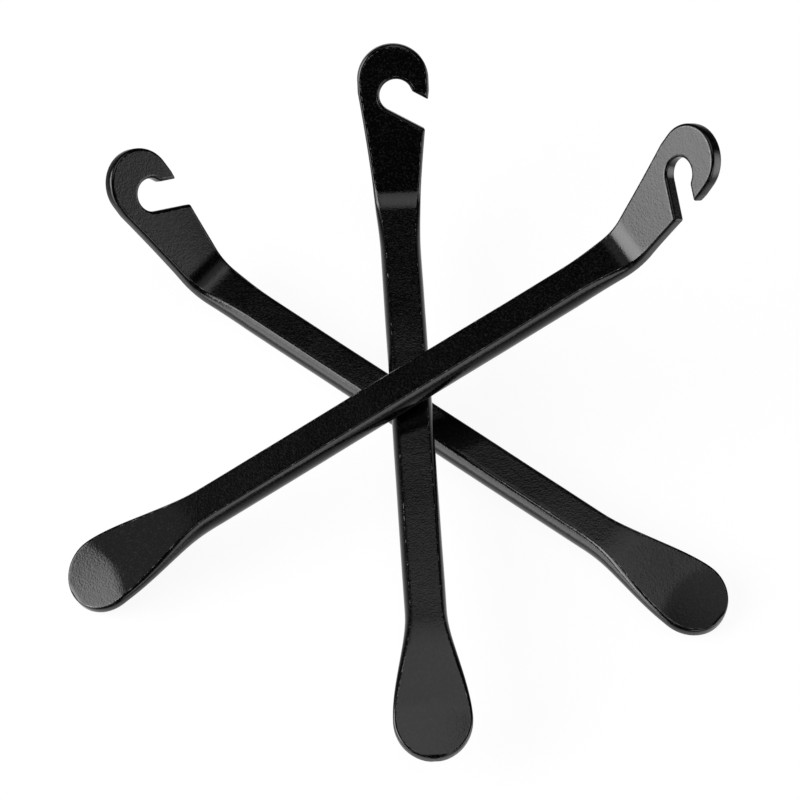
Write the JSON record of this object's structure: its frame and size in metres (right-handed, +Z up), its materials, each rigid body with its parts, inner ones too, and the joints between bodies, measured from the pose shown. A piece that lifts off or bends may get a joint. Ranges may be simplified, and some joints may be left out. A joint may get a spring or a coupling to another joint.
{
  "type": "tyre lever set",
  "caption": "Set of black forged steel tyre levers lying across one another, each with a flat spoon and a bent, slotted spoke hook.",
  "frame": {"origin": "centre of the set's footprint, on the surface that it lies on", "axes": "+Z up; the middle lever points along +Y from spoon to hook, turned 3 degrees towards -X; the top lever's hook is at +X +Y and the bottom lever's at -X +Y"},
  "size_m": [0.102, 0.12, 0.0456],
  "materials": {
    "black_coating": "satin black powder coat on forged steel, worn bright at the edges"
  },
  "bodies": {
    "bottom_lever": {"bottom_lever": "black_coating"},
    "middle_lever": {"middle_lever": "black_coating"},
    "top_lever": {"top_lever": "black_coating"}
  },
  "joints": [
    {"name": "middle_lever_lift", "type": "slide", "parent": "bottom_lever", "child": "middle_lever", "axis": [0, 0, 1], "range_m": [0, 0.05]},
    {"name": "top_lever_lift", "type": "slide", "parent": "middle_lever", "child": "top_lever", "axis": [0, 0, 1], "range_m": [0, 0.05]}
  ]
}
